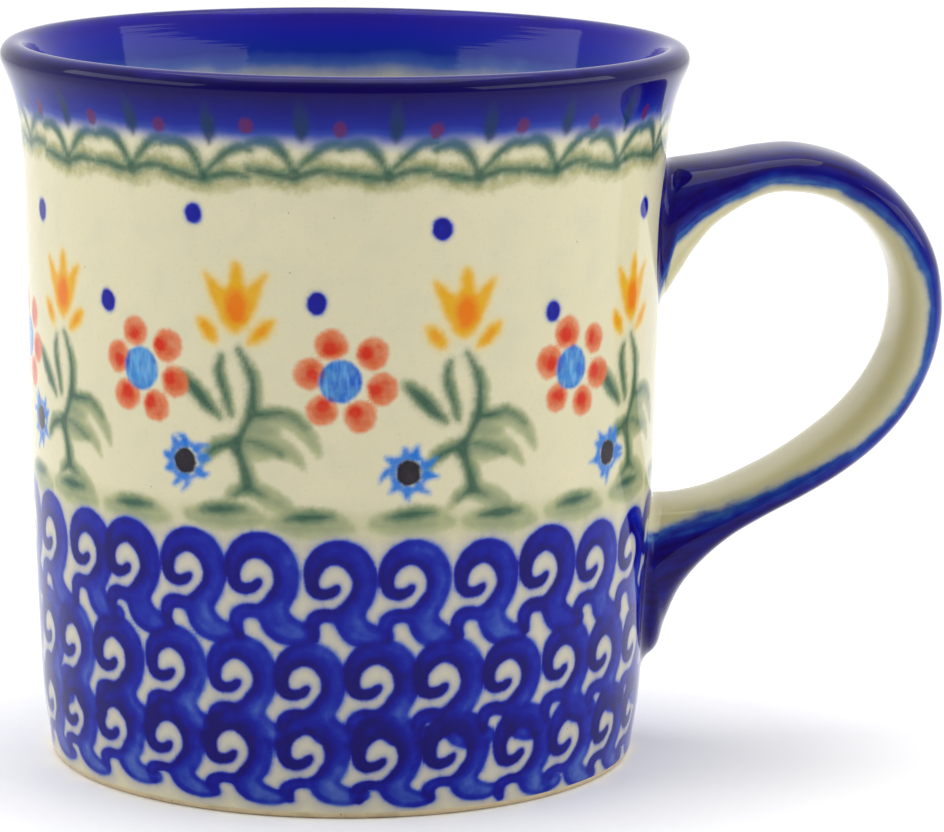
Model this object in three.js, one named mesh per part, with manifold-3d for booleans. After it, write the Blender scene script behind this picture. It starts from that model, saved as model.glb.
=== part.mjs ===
// A straight-sided stoneware mug with a flared lip, a strap handle and a shallow foot ring.
// Millimetres, +Z up. The mug stands on z = 0 and its handle points along +X. The origin is the
// middle of its footprint, which is the rectangle that bounds the body and the handle together.
import * as THREE from 'three';
import { mergeVertices } from 'three/addons/utils/BufferGeometryUtils.js';
import Module from 'manifold-3d';

const wasm = await Module();
wasm.setup();

// ---- driving dimensions ----

const HEIGHT = 88;
const AXIS_X = -16;             // the body's own axis, behind the middle of the footprint
const AROUND = 72;              // facets round the body

const LIP_RADIUS = 1.77;        // the lip is a half-round bead
const LIP_CENTRE = 40.1;
const LIP_OUTER_ANGLE = -22.5;  // degrees, where the flare runs into the bead
const LIP_INNER_ANGLE = 157.5;
const LIP_STEPS = 8;            // a step falls on the widest point and one on the top

const FLOOR_Z = 6;
const FLOOR_FILLET = 7;
const CAVITY_FOOT_RADIUS = 33.4;
const FILLET_STEPS = 4;

const FOOT_OUTER = 35.25;       // the flat ring that the mug rests on
const FOOT_INNER = 32;
const FOOT_EDGE_HEIGHT = 1.5;   // the rounded edge between the ring and the wall
const FOOT_EDGE_STEPS = 3;
const WALL_FOOT_RADIUS = 36.2;
const RECESS_RADIUS = 31.2;
const RECESS_DEPTH = 1.2;

const WALL_STEPS = 12;
const CAVITY_STEPS = 10;

const STRAP_WIDTH = 17;
const ROOT_WIDTH = 21;          // the strap spreads where it meets the wall
const SECTION_POWER = 2.5;      // 2 is an ellipse, larger is closer to a rectangle
const SECTION_POINTS = 20;
const STRAP_STATIONS = 44;
const SLIP_STATIONS = 14;

const CLEARANCE = 0.3;          // left between two pieces where the slip would wet them
const SLIP_THICKNESS = 0.6;
const SLIP_BEAD = 0.7;          // how far the slip squeezes out past the strap's root

// ---- outlines, as (radius, height) ----

function lipPoint(degrees) {
  const angle = THREE.MathUtils.degToRad(degrees);
  return new THREE.Vector2(
    LIP_CENTRE + LIP_RADIUS * Math.cos(angle),
    HEIGHT - LIP_RADIUS + LIP_RADIUS * Math.sin(angle),
  );
}

// The outside of the wall, from the top of the foot's edge to the flare under the lip.
const WALL = new THREE.SplineCurve([
  new THREE.Vector2(WALL_FOOT_RADIUS, FOOT_EDGE_HEIGHT),
  new THREE.Vector2(37.2, 10),
  new THREE.Vector2(38.1, 30),
  new THREE.Vector2(38.75, 58),
  new THREE.Vector2(39.2, 74),
  new THREE.Vector2(40.1, 81),
  lipPoint(LIP_OUTER_ANGLE),
]);

// The inside, from the lip down to the fillet at the floor.
const CAVITY = new THREE.SplineCurve([
  lipPoint(LIP_INNER_ANGLE),
  new THREE.Vector2(36.8, 82.5),
  new THREE.Vector2(35.3, 75.5),
  new THREE.Vector2(34.4, 60),
  new THREE.Vector2(33.9, 35),
  new THREE.Vector2(CAVITY_FOOT_RADIUS, FLOOR_Z + FLOOR_FILLET),
]);

// Pairs of points across the strap, from the upper root round to the lower one. x is the
// distance from the body's axis, y the height. The first and last pair lie inside the wall.
const STRAP = [
  { outer: [34.0, 72.2], inner: [34.0, 56.3] },
  { outer: [38.6, 72.9], inner: [38.6, 57.0] },
  { outer: [41.2, 73.4], inner: [41.6, 59.2] },
  { outer: [43.6, 73.7], inner: [43.7, 62.4] },
  { outer: [46.6, 74.1], inner: [46.6, 65.8] },
  { outer: [51.4, 74.9], inner: [51.2, 69.0] },
  { outer: [56.4, 75.1], inner: [55.6, 69.5] },
  { outer: [62.2, 73.6], inner: [59.9, 68.5] },
  { outer: [66.9, 70.6], inner: [63.4, 66.3] },
  { outer: [70.6, 66.4], inner: [66.2, 63.1] },
  { outer: [73.0, 61.6], inner: [67.8, 59.7] },
  { outer: [73.9, 56.0], inner: [68.3, 56.0] },
  { outer: [73.5, 51.2], inner: [68.0, 52.4] },
  { outer: [72.1, 46.7], inner: [67.1, 49.0] },
  { outer: [69.6, 42.1], inner: [65.1, 45.2] },
  { outer: [66.0, 38.0], inner: [62.2, 41.7] },
  { outer: [61.6, 34.5], inner: [58.8, 38.8] },
  { outer: [56.9, 31.7], inner: [54.8, 36.0] },
  { outer: [52.0, 29.1], inner: [50.3, 33.6] },
  { outer: [47.8, 26.5], inner: [46.6, 32.1] },
  { outer: [44.2, 23.2], inner: [43.6, 31.4] },
  { outer: [41.7, 19.8], inner: [41.3, 31.1] },
  { outer: [40.1, 15.8], inner: [39.6, 31.1] },
  { outer: [38.7, 11.9], inner: [38.2, 31.1] },
  { outer: [34.0, 9.4], inner: [34.0, 31.1] },
];
const UPPER_ROOT = [0, 5];      // the stretch of pairs that the upper slip surrounds
const LOWER_ROOT = [19, 24];
const FLARE_PAIRS = 5;          // the width eases from root to strap over this many pairs

// ---- solids ----

function toSolid(geometry) {
  const bare = geometry.clone();
  bare.deleteAttribute('normal');
  bare.deleteAttribute('uv');
  const merged = mergeVertices(bare, 1e-4);
  const source = merged.index.array;
  const triangles = [];
  for (let i = 0; i < source.length; i += 3) {
    const [a, b, c] = source.subarray(i, i + 3);
    if (a !== b && b !== c && c !== a) triangles.push(a, b, c);
  }
  return new wasm.Manifold(new wasm.Mesh({
    numProp: 3,
    vertProperties: new Float32Array(merged.attributes.position.array),
    triVerts: new Uint32Array(triangles),
  }));
}

function toGeometry(solid) {
  const mesh = solid.getMesh();
  const geometry = new THREE.BufferGeometry();
  geometry.setAttribute('position', new THREE.BufferAttribute(mesh.vertProperties, 3));
  geometry.setIndex(new THREE.BufferAttribute(mesh.triVerts, 1));
  geometry.computeVertexNormals();
  return geometry;
}

// Turns an outline about the body's axis, which the lathe takes as +Y and this part as +Z.
function turned(outline) {
  const geometry = new THREE.LatheGeometry(outline, AROUND);
  geometry.rotateX(Math.PI / 2);
  geometry.translate(AXIS_X, 0, 0);
  return geometry;
}

function bodyOutline() {
  const outline = [
    new THREE.Vector2(0, RECESS_DEPTH),
    new THREE.Vector2(RECESS_RADIUS, RECESS_DEPTH),
    new THREE.Vector2(FOOT_INNER, 0),
  ];
  for (let i = 0; i < FOOT_EDGE_STEPS; i += 1) {
    const angle = (i / FOOT_EDGE_STEPS) * (Math.PI / 2);
    outline.push(new THREE.Vector2(
      FOOT_OUTER + (WALL_FOOT_RADIUS - FOOT_OUTER) * Math.sin(angle),
      FOOT_EDGE_HEIGHT * (1 - Math.cos(angle)),
    ));
  }
  outline.push(...WALL.getPoints(WALL_STEPS));
  for (let i = 1; i < LIP_STEPS; i += 1) {
    outline.push(lipPoint(THREE.MathUtils.lerp(LIP_OUTER_ANGLE, LIP_INNER_ANGLE, i / LIP_STEPS)));
  }
  outline.push(...CAVITY.getPoints(CAVITY_STEPS));
  for (let i = 1; i <= FILLET_STEPS; i += 1) {
    const angle = (i / FILLET_STEPS) * (Math.PI / 2);
    outline.push(new THREE.Vector2(
      CAVITY_FOOT_RADIUS - FLOOR_FILLET + FLOOR_FILLET * Math.cos(angle),
      FLOOR_Z + FLOOR_FILLET - FLOOR_FILLET * Math.sin(angle),
    ));
  }
  outline.push(new THREE.Vector2(0, FLOOR_Z));
  return outline;
}

// A solid core whose side stands off the wall's outside by the given distance.
function wallCore(standOff) {
  const points = WALL.getPoints(WALL_STEPS);
  const outline = [new THREE.Vector2(0, points[0].y)];
  for (const point of points) outline.push(new THREE.Vector2(point.x + standOff, point.y));
  outline.push(new THREE.Vector2(0, points.at(-1).y));
  return toSolid(turned(outline));
}

// ---- the strap ----

const planeCurve = (side) => new THREE.CatmullRomCurve3(
  STRAP.map((pair) => new THREE.Vector3(pair[side][0], 0, pair[side][1])),
);
const OUTER_EDGE = planeCurve('outer');
const INNER_EDGE = planeCurve('inner');

function strapWidth(position) {
  const last = STRAP.length - 1;
  const fromRoot = Math.min(position, last - position) / FLARE_PAIRS;
  const ease = THREE.MathUtils.smoothstep(fromRoot, 0, 1);
  return THREE.MathUtils.lerp(ROOT_WIDTH, STRAP_WIDTH, ease);
}

// One closed loop round the strap at a position counted in pairs, grown outwards by a margin.
function strapSection(position, margin) {
  const t = position / (STRAP.length - 1);
  const outer = OUTER_EDGE.getPoint(t);
  const inner = INNER_EDGE.getPoint(t);
  const centre = outer.clone().add(inner).multiplyScalar(0.5);
  const across = outer.clone().sub(inner);
  const halfThickness = across.length() / 2 + margin;
  const halfWidth = strapWidth(position) / 2 + margin;
  across.normalize();
  const loop = [];
  for (let i = 0; i < SECTION_POINTS; i += 1) {
    const angle = (i / SECTION_POINTS) * 2 * Math.PI;
    const rounded = (value) => Math.sign(value) * Math.abs(value) ** (2 / SECTION_POWER);
    const point = centre.clone();
    point.addScaledVector(across, halfThickness * rounded(Math.cos(angle)));
    point.y += halfWidth * rounded(Math.sin(angle));
    point.x += AXIS_X;
    loop.push(point);
  }
  return loop;
}

// A closed solid through the loops between two positions, with a fan of triangles at each end.
function loft([first, last], stations, margin) {
  const positions = [];
  const index = [];
  const n = SECTION_POINTS;
  for (let s = 0; s < stations; s += 1) {
    const position = THREE.MathUtils.lerp(first, last, s / (stations - 1));
    for (const point of strapSection(position, margin)) positions.push(point.x, point.y, point.z);
  }
  for (let s = 0; s < stations - 1; s += 1) {
    for (let i = 0; i < n; i += 1) {
      const a = s * n + i;
      const b = s * n + ((i + 1) % n);
      index.push(a, b + n, b);
      index.push(a, a + n, b + n);
    }
  }
  const lastLoop = (stations - 1) * n;
  for (let i = 1; i < n - 1; i += 1) {
    index.push(0, i, i + 1);
    index.push(lastLoop, lastLoop + i + 1, lastLoop + i);
  }
  const geometry = new THREE.BufferGeometry();
  geometry.setAttribute('position', new THREE.Float32BufferAttribute(positions, 3));
  geometry.setIndex(index);
  return geometry;
}

// The thin layer of slip that bonds one root to the wall, with a bead squeezed out round it.
function slipLayer(stretch) {
  const plug = toSolid(loft(stretch, SLIP_STATIONS, SLIP_BEAD));
  const ring = plug.subtract(wallCore(CLEARANCE));
  return ring.intersect(wallCore(CLEARANCE + SLIP_THICKNESS));
}

// ---- the mug ----

const CREAM_GLAZE = new THREE.Color(0.83, 0.79, 0.64);
const COBALT_GLAZE = new THREE.Color(0.06, 0.07, 0.42);
const DARK_SLIP = new THREE.Color(0.05, 0.05, 0.22);

function piece(name, geometry, color, roughness) {
  const material = new THREE.MeshStandardMaterial({ color, roughness, metalness: 0 });
  const mesh = new THREE.Mesh(geometry, material);
  mesh.name = name;
  return mesh;
}

const wholeStrap = toSolid(loft([0, STRAP.length - 1], STRAP_STATIONS, 0));
const strap = wholeStrap.subtract(wallCore(SLIP_THICKNESS + 2 * CLEARANCE));

const mug = new THREE.Group();
mug.add(piece('mug_body', toGeometry(toSolid(turned(bodyOutline()))), CREAM_GLAZE, 0.12));
mug.add(piece('handle', toGeometry(strap), COBALT_GLAZE, 0.12));
mug.add(piece('upper_slip_joint', toGeometry(slipLayer(UPPER_ROOT)), DARK_SLIP, 0.3));
mug.add(piece('lower_slip_joint', toGeometry(slipLayer(LOWER_ROOT)), DARK_SLIP, 0.3));

export default mug;
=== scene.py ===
"""The looks of a Polish stoneware mug: glazed, brush-painted and sponge-stamped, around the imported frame.

Sizes are millimetres in the mug's own frame, and become metres where a mesh, a lamp or the camera is made.
Angles of mesh points are degrees from the middle of the handle, anticlockwise seen from above. Painted
marks are placed by degrees from FRONT, the side that the camera faces, and by their height on the wall.
"""
import math

import bpy
import numpy as np
from mathutils import Matrix, Vector


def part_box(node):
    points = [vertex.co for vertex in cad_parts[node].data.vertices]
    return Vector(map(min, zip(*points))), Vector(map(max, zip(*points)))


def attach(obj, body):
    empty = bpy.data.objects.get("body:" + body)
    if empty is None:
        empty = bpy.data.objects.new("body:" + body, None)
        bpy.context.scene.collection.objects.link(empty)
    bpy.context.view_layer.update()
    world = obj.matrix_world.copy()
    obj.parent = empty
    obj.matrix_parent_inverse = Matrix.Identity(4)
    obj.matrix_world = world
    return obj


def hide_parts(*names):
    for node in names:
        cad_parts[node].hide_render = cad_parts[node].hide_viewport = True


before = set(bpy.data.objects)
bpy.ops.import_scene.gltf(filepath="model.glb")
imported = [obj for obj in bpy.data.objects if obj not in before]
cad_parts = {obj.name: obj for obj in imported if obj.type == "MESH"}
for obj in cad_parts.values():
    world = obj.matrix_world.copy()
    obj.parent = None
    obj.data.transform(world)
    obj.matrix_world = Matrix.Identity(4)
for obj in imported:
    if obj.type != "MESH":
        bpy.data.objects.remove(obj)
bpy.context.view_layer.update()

MM = 0.001
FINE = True

# ---- sizes taken from the frame

body_low, body_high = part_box("mug_body")
AXIS_X = (body_low.x + body_high.x) / 2 / MM
WIDEST = (body_high.x - body_low.x) / 2 / MM
HEIGHT = body_high.z / MM

LIP_RADIUS = 1.77
LIP_CENTRE = WIDEST - LIP_RADIUS
LIP_ANGLES = (-22.5, 157.5)    # where the round lip meets the wall and the cavity
FLOOR_Z = 6.0
FLOOR_FILLET = 7.0
CAVITY_FOOT_RADIUS = 33.4
FOOT_OUTER = 35.25
FOOT_INNER = 32.0
FOOT_EDGE_HEIGHT = 1.5
WALL_FOOT_RADIUS = 36.2
RECESS_RADIUS = 31.2
RECESS_DEPTH = 1.2
BAND_JOINTS = (36.0, 74.0)     # heights where the wall's three visual rings meet
HIDDEN_STEP = 2.0              # between rows of points on the plain inside of the wall
SHARP = math.radians(50)       # edges sharper than this stay sharp

# ---- outlines, as (radius, height)


def spline(points, steps):
    """Points along a smooth curve through the given points, with this many steps between each two."""
    p = np.asarray(points, float)
    ends = np.vstack([p[0], p, p[-1]])
    t = (np.arange(steps) / steps)[:, None]
    out = []
    for a, b, c, d in zip(ends[:-3], ends[1:-2], ends[2:-1], ends[3:]):
        v0 = (c - a) / 2
        v1 = (d - b) / 2
        out.append((2 * b - 2 * c + v0 + v1) * t**3 + (3 * c - 3 * b - 2 * v0 - v1) * t**2 + v0 * t + b)
    return np.vstack(out + [p[-1:]])


def arc(centre, radii, start, end, steps):
    """Points along part of an ellipse, from one angle to another in degrees."""
    a = np.radians(np.linspace(start, end, steps + 1))
    return np.stack([centre[0] + radii[0] * np.cos(a), centre[1] + radii[1] * np.sin(a)], 1)


def respaced(outline, step):
    """The same outline with its points an even step apart."""
    length = np.r_[0, np.cumsum(np.hypot(*np.diff(outline, axis=0).T))]
    at = np.linspace(0, length[-1], max(2, round(length[-1] / step) + 1))
    return np.stack([np.interp(at, length, outline[:, k]) for k in (0, 1)], 1)


LIP = arc((LIP_CENTRE, HEIGHT - LIP_RADIUS), (LIP_RADIUS, LIP_RADIUS), *LIP_ANGLES, 48)
WALL = spline([(WALL_FOOT_RADIUS, FOOT_EDGE_HEIGHT), (37.2, 10), (38.1, 30), (38.75, 58), (39.2, 74),
               (40.1, 81), LIP[0]], 40)
CAVITY = spline([LIP[-1], (36.8, 82.5), (35.3, 75.5), (34.4, 60), (33.9, 35),
                 (CAVITY_FOOT_RADIUS, FLOOR_Z + FLOOR_FILLET)], 40)
FOOT_EDGE = arc((FOOT_OUTER, FOOT_EDGE_HEIGHT),
                (WALL_FOOT_RADIUS - FOOT_OUTER, FOOT_EDGE_HEIGHT), -90, 0, 10)
FLOOR_CORNER = arc((CAVITY_FOOT_RADIUS - FLOOR_FILLET, FLOOR_Z + FLOOR_FILLET),
                   (FLOOR_FILLET, FLOOR_FILLET), 0, -90, 14)


def wall_radius(z):
    return np.interp(z, WALL[:, 1], WALL[:, 0])


def between(outline, low, high):
    """The stretch of an outline between two heights, cut exactly at each."""
    up = outline[-1, 1] > outline[0, 1]
    o = outline if up else outline[::-1]
    ends = [[np.interp(z, o[:, 1], o[:, 0]), z] for z in (low, high)]
    inside = o[(o[:, 1] > low + 1e-6) & (o[:, 1] < high - 1e-6)]
    cut = np.vstack([ends[0], inside, ends[1]])
    return cut if up else cut[::-1]


def eased(t):
    """0 up to t = 0, 1 from t = 1, and smooth between."""
    t = np.clip(t, 0, 1)
    return t * t * (3 - 2 * t)


# ---- shapes painted on the wall
# Each returns a signed distance in mm, negative inside, at points x (to the right) and y (up).


def ellipse(x, y, centre, radii, turn=0.0):
    c, s = math.cos(math.radians(turn)), math.sin(math.radians(turn))
    dx, dy = x - centre[0], y - centre[1]
    u, v = dx * c + dy * s, dy * c - dx * s
    near = np.hypot(u / radii[0], v / radii[1])
    slope = np.hypot(u / radii[0] ** 2, v / radii[1] ** 2)
    return near * (near - 1) / np.maximum(slope, 1e-6)


def stroke(x, y, points, steps=5):
    """One pull of a brush through points (x, y, half width)."""
    path = spline(points, steps)
    best = np.full(x.shape, 99.0)
    for (ax, ay, ar), (bx, by, br) in zip(path[:-1], path[1:]):
        ex, ey = bx - ax, by - ay
        t = np.clip(((x - ax) * ex + (y - ay) * ey) / max(ex * ex + ey * ey, 1e-9), 0, 1)
        best = np.minimum(best, np.hypot(x - ax - t * ex, y - ay - t * ey) - (ar + t * (br - ar)))
    return best


def joined(a, b, soft=0.4):
    """Two shapes run together, as wet paint does."""
    h = np.clip(0.5 + 0.5 * (b - a) / soft, 0, 1)
    return b * (1 - h) + a * h - soft * h * (1 - h)


# The scroll stamp: a curl that swells over a dome into a leg, and a small foot to the left.
SCROLL_CURL = [
    (0.85, -0.45, 0.4), (0.6, -0.75, 0.66), (0, -1.2, 0.74), (-1.06, -1.36, 0.82), (-1.95, -0.9, 0.92),
    (-2.3, 0.18, 1.02), (-2.2, 1.5, 1.2), (-1.5, 2.75, 1.42), (-0.25, 3.6, 1.58), (1.2, 3.75, 1.7),
    (2.75, 3.05, 1.82), (3.8, 1.6, 1.76), (4.1, -0.1, 1.66), (3.7, -1.75, 1.6), (2.75, -3.2, 1.7),
    (2.25, -4.6, 2.05), (3, -6, 2.05), (4.7, -6.8, 1.68), (6.3, -6.8, 1.25),
]
SCROLL_FOOT = [
    (1.9, -4.05, 1.08), (0.4, -4.05, 0.98), (-1.06, -3.98, 1), (-2.1, -4.5, 1.08), (-2.4, -5.6, 1),
    (-2.1, -6.8, 0.7),
]


def scroll_stamp(x, y, pale):
    """The stamp's shape and its load of pigment: heavy round the curl, paler outside on the right."""
    shape = joined(stroke(x, y, SCROLL_CURL, 4), stroke(x, y, SCROLL_FOOT, 4), 0.7)
    from_curl = np.hypot(x - 0.4, y - 0.2)
    load = 0.65 + 0.21 * eased((5.2 - from_curl) / 2.8) + 0.08 * eased((1.0 - x) / 3.0)
    outside = eased((np.hypot(x - 0.9, y - 0.4) - 2.8) / 2.2)
    return shape, load - pale * outside * (0.35 + 0.65 * eased((x - 1.2) / 2.2))


# The plant stamp, about the tulip's own line, with y = 0 at 50 mm up the wall.
TULIP = [
    [(-3.75, 14.7, 0.25), (-3.1, 13.8, 0.62), (-2.3, 12.6, 1), (-1.2, 11.3, 1.45), (-0.5, 10.2, 1.6)],
    [(3.55, 14.7, 0.25), (2.8, 13.8, 0.6), (2, 12.6, 0.95), (1.05, 11.3, 1.4), (0.4, 10.2, 1.45)],
    [(0.05, 15.9, 0.42), (0.1, 15, 0.78), (0.1, 13.6, 0.98), (0, 11.6, 1.8), (-0.1, 9.9, 1.6),
     (-0.2, 8.7, 0.8)],
]
BUDS = [
    [(-4.5, 9.4, 0.35), (-3.95, 8.7, 0.85), (-3.35, 7.9, 0.9), (-2.7, 7, 0.35)],
    [(4.2, 9.3, 0.4), (3.3, 8.5, 0.85), (2.5, 7.7, 0.8), (1.5, 6.9, 0.3)],
]
STEMS = [
    [(0.2, 6.1, 0.2), (1, 4.7, 0.4), (1.6, 3.3, 0.5), (1.85, 1.9, 0.52), (1.8, 0.3, 0.56),
     (1.7, -1.2, 0.7), (1.05, -2.6, 0.5), (0.3, -4, 0.58), (-0.35, -5.1, 0.95), (0.15, -6.6, 0.6),
     (0.6, -8, 0.62), (0.9, -9.4, 0.72), (0.95, -10.1, 0.7)],
    [(-1.9, 5.2, 0.2), (-2.3, 3.7, 0.42), (-2, 2.15, 0.5), (-1.45, 0.6, 0.42), (-1.05, -0.8, 0.32),
     (-0.9, -1.6, 0.12)],
    [(-6.9, 2.5, 0.4), (-6, 1.7, 0.66), (-5, 0.7, 0.8), (-3.9, -0.5, 0.66), (-3, -1.3, 0.42),
     (-2.4, -1.9, 0.15)],
    [(1.65, -1.25, 0.62), (2.8, -1.45, 0.55), (4, -1.3, 0.45), (5.4, -1.2, 0.3), (6.8, -1.8, 0.2),
     (8, -2.9, 0.08)],
    [(-0.35, -5.1, 0.75), (-1.7, -5.2, 0.56), (-3, -5.7, 0.56), (-4, -6.6, 0.36), (-4.4, -7.3, 0.15)],
    [(0.3, -4.5, 0.3), (2, -4.8, 0.24), (3.7, -5.4, 0.22), (5.2, -6.1, 0.14)],
    [(0.95, -10, 0.6), (0.1, -10.6, 0.42), (-0.8, -11.2, 0.15)],
    [(1, -10, 0.6), (1.9, -10.5, 0.4), (2.8, -11, 0.15)],
]
LEAVES = [
    [(1.8, -1.5, 1), (3.6, -1.7, 1.25), (5.2, -1.7, 1.35), (6.8, -2.3, 1.3), (8.1, -3.6, 1.05),
     (9, -5, 0.75), (9.4, -6.1, 0.3)],
    [(0.8, -5.3, 1.2), (2.4, -5.1, 1.9), (4, -5.2, 1.5), (5.6, -5.6, 1.1), (6.9, -6.6, 0.75),
     (7.7, -7.8, 0.25)],
    [(1.3, -2.6, 1), (2.4, -3.2, 1.8), (3.9, -3.4, 1.35)],
    [(0.6, -6.6, 0.95), (1.1, -8.2, 0.9), (1.4, -9.6, 1)],
    [(1.2, -10.2, 1), (3.2, -11.1, 1.4), (5.2, -12.3, 1.2), (6.5, -13.3, 0.4)],
    [(-0.4, -5, 0.85), (-1.9, -4.9, 0.9), (-3.3, -5.7, 1), (-4.3, -7, 0.6), (-4.6, -7.8, 0.25)],
    [(0.6, -10.1, 0.9), (-0.8, -10.8, 0.85), (-1.8, -12.1, 0.4)],
    [(1.9, 4.2, 0.3), (2.4, 2.8, 0.56), (2.5, 1.2, 0.6), (2.3, -0.4, 0.7)],
    [(-1.8, 4.8, 0.3), (-1.9, 3, 0.62), (-1.4, 1, 0.62), (-0.8, -1.1, 0.5)],
    [(-7.2, 2.8, 0.6), (-6.1, 2.1, 0.9), (-4.6, 0.6, 1.05), (-3.3, -0.8, 0.75), (-2.4, -1.8, 0.3)],
]

# The red flower, about its own middle: petal middles, and the darker touch inside each.
PETALS = [(-1.2, 4.3), (3.6, 3.5), (4.9, -0.6), (2.5, -3.9), (-1.9, -3.4), (-3.6, 0.8)]
PETAL_RADIUS = 1.85
PETAL_TOUCH = 0.72
FLOWER_EYE = 2.5
TULIP_HEART, HEART_RADII = 11.0, (1.25, 1.8)     # the orange heart: its height in the stamp, and its size
STAR_POINTS = 9
STAR_RING = (1.68, 2.35)
STAR_EYE = (1.48, 1.55)
DOT_RADII = (1.22, 1.42)
RUST_RADII = (0.85, 0.92)

# The garland, about the node where two arches meet.
GARLAND = [
    [(-0.2, 0.2, 0.45), (-0.6, 1.1, 0.48), (-1.2, 2.1, 0.58), (-2, 3.05, 0.66), (-3.1, 3.6, 0.66),
     (-4.2, 3.55, 0.55), (-5.4, 3.2, 0.4)],
    [(0.3, 0.3, 0.3), (1.3, 1.3, 0.42), (2.5, 2.4, 0.52), (3.6, 3.2, 0.52), (4.8, 3.55, 0.5),
     (5.8, 3.4, 0.4)],
    [(0, -0.1, 0.9), (0.05, -0.3, 0.9)],
    [(-5.5, 0.2, 0.4), (-3.6, 0, 0.55), (-1.8, -0.35, 0.58), (-0.2, -0.55, 0.5)],
    [(0.3, -0.4, 0.5), (1.6, 0, 0.56), (3.2, 0.3, 0.52), (5.3, 0.15, 0.4)],
]
GARLAND_SHADE = [
    [(-5, 0.7, 0.5), (-3.2, 0.9, 0.65), (-1.4, 0.6, 0.5)],
    [(1.5, 0.8, 0.5), (3.4, 0.9, 0.8), (5.2, 0.7, 0.7), (6.4, 0.2, 0.5)],
    [(-5.6, -0.5, 0.5), (-2.4, -1.2, 0.75), (1, -1.4, 0.8), (3.6, -0.9, 0.7), (5.8, -0.5, 0.5)],
]
SPINDLE = [(0.9, 3.7, 0.15), (0.95, 4.7, 0.72), (0.95, 5.9, 0.86), (0.9, 7.2, 0.7), (0.85, 8.4, 0.2)]
RUST_DOT_Z = 5.3
GROUND = [(-2.3, -0.15, 0.2), (-1.1, 0, 0.6), (0.1, 0.05, 0.76), (1.4, 0.1, 0.64), (2.9, 0.15, 0.25)]
GROUND_SHADE = [
    [(-4.2, -0.6, 0.4), (-2.4, -0.3, 0.9), (0.2, -0.1, 1.1), (3.0, -0.2, 1.05), (4.7, -0.8, 0.5)],
    [(-4.0, -1.0, 0.5), (-1.4, -1.3, 0.95), (2.0, -1.35, 1.05), (5.2, -1.2, 0.55)],
]

# ---- where each is painted

FRONT = -93.9      # the side of the mug that the camera faces
# Each plant: angle from the front, rise of its tulip, angle from it to its star, height of the star.
PLANTS = [
    (61.9, -1.5, -7.1, 41.4), (21.4, -0.6, -10, 41.9), (-18.4, 0, -10, 42.5), (-59.2, -1.2, -11.8, 43.4),
    (-100.4, -0.4, -11, 42.6), (-141.6, -0.9, -10, 42), (-182.6, -0.3, -9.5, 42.8), (-224.4, -1, -11, 42.2),
]
TULIP_BASE = 50.0
FLOWERS = [43.6, -0.6, -37.6, -79.8, -121.0, -162.0, -203.6]
FLOWER_Z = 52.6
DOTS = [
    (66.2, 69.9), (38.8, 59.7), (16.7, 70.3), (-4.6, 61.8), (-26.4, 71.6), (-45.2, 60.2), (-67, 69.1),
    (-86, 60.6), (-108, 70.6), (-127, 61.2), (-149, 71.2), (-169, 60), (-190, 70), (-210, 61), (-232, 70.8),
]
# Stamps round the wall, angle of one, height of its curl, how short its leg is, how pale its side is.
SCROLL_ROWS = [
    (27, -2.2, 28.9, 1.0, 0.16),
    (28, 4.9, 16.8, 1.0, 0.34),
    (27, 6.1, 7.9, 0.72, 0.32),
]
ROW_TILT = 0.7           # how far the rows run down towards the handle, and up on the other side
GARLAND_COUNT, GARLAND_AT, GARLAND_Z = 23, 7.4, 76.6
GROUND_COUNT, GROUND_AT, GROUND_Z = 21, 11.2, 36.6

FIELDS = ("cobalt", "load", "green", "leaf", "shade", "yellow", "orange", "red", "touch",
          "sky", "star", "black", "teal", "rust", "inside")
FIELD_GROUPS = {f"paint_{letter}": FIELDS[3 * i:3 * i + 3] for i, letter in enumerate("abcde")}
FAR = 9.0
OVERLAP = 0.35           # how much darker two stamps are where one lies over the other
SQUASH_BELOW = -3.0      # the lowest row's legs are cut short below this, by the foot


class Brush:
    """Distances to every kind of mark at points of the wall, and the spot where the brush is."""

    def __init__(self, angle, z):
        self.angle, self.z = angle, z
        self.field = {name: np.full(angle.shape, FAR) for name in FIELDS}
        self.field["load"][:] = 0.0

    def move(self, angle, z, reach, drop=None, lean=0.0, size=1.0, squeeze=1.0):
        """Go to a spot and find the points within reach of it, or drop above and below. Their x and y
        are those of the mark drawn there: y times squeeze, then turned back by lean and divided by size.
        """
        turn = (self.angle - FRONT - angle + 180) % 360 - 180
        x = np.radians(turn) * wall_radius(self.z)
        y = self.z - z
        self.near = np.nonzero((np.abs(x) < reach) & (np.abs(y) < (drop or reach)))[0]
        x, y = x[self.near], y[self.near] * squeeze
        c, s = math.cos(math.radians(lean)), math.sin(math.radians(lean))
        self.x, self.y = (x * c + y * s) / size, (y * c - x * s) / size

    def mark(self, name, distance, soft=0.3):
        """Add a shape, given as distances, to the marks of its kind."""
        field = self.field[name]
        field[self.near] = joined(field[self.near], distance, soft)

    def ellipse(self, name, centre, radii, turn=0.0, soft=0.1):
        self.mark(name, ellipse(self.x, self.y, centre, radii, turn), soft)

    def strokes(self, name, drawing, soft, fuller=0.0):
        """Every pull of the brush in a drawing, each fuller than drawn by this much."""
        for points in drawing:
            self.mark(name, stroke(self.x, self.y, points) - fuller, soft)


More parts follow.
